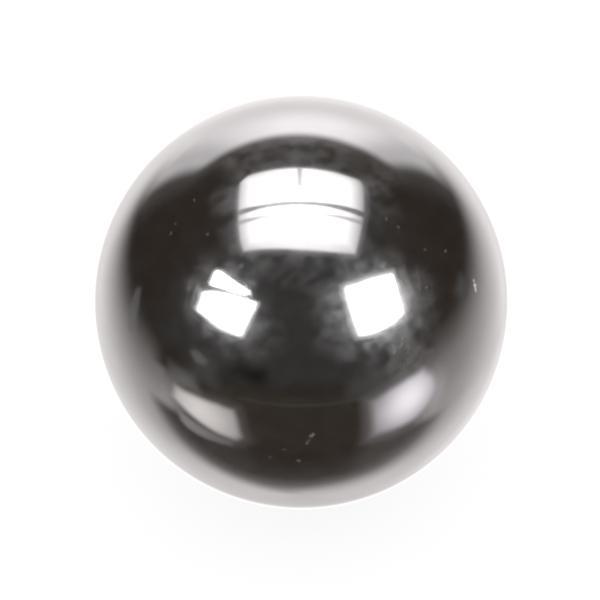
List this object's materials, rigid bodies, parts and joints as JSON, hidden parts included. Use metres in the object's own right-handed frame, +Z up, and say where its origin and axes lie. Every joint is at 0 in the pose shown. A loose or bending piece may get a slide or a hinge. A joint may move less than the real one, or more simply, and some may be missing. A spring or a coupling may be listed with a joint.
{
  "type": "steel ball",
  "caption": "Plain solid ball of mirror-polished steel, a true sphere for rolling, weighting or seating in a cup.",
  "frame": {"origin": "centre of the ball", "axes": "+Z up through the centre, opposite the seat; every axis is alike, because the ball is a full sphere"},
  "size_m": [0.0254, 0.0254, 0.0254],
  "materials": {
    "polished_steel": "polished"
  },
  "bodies": {
    "root": {"ball": "polished_steel"}
  },
  "joints": []
}
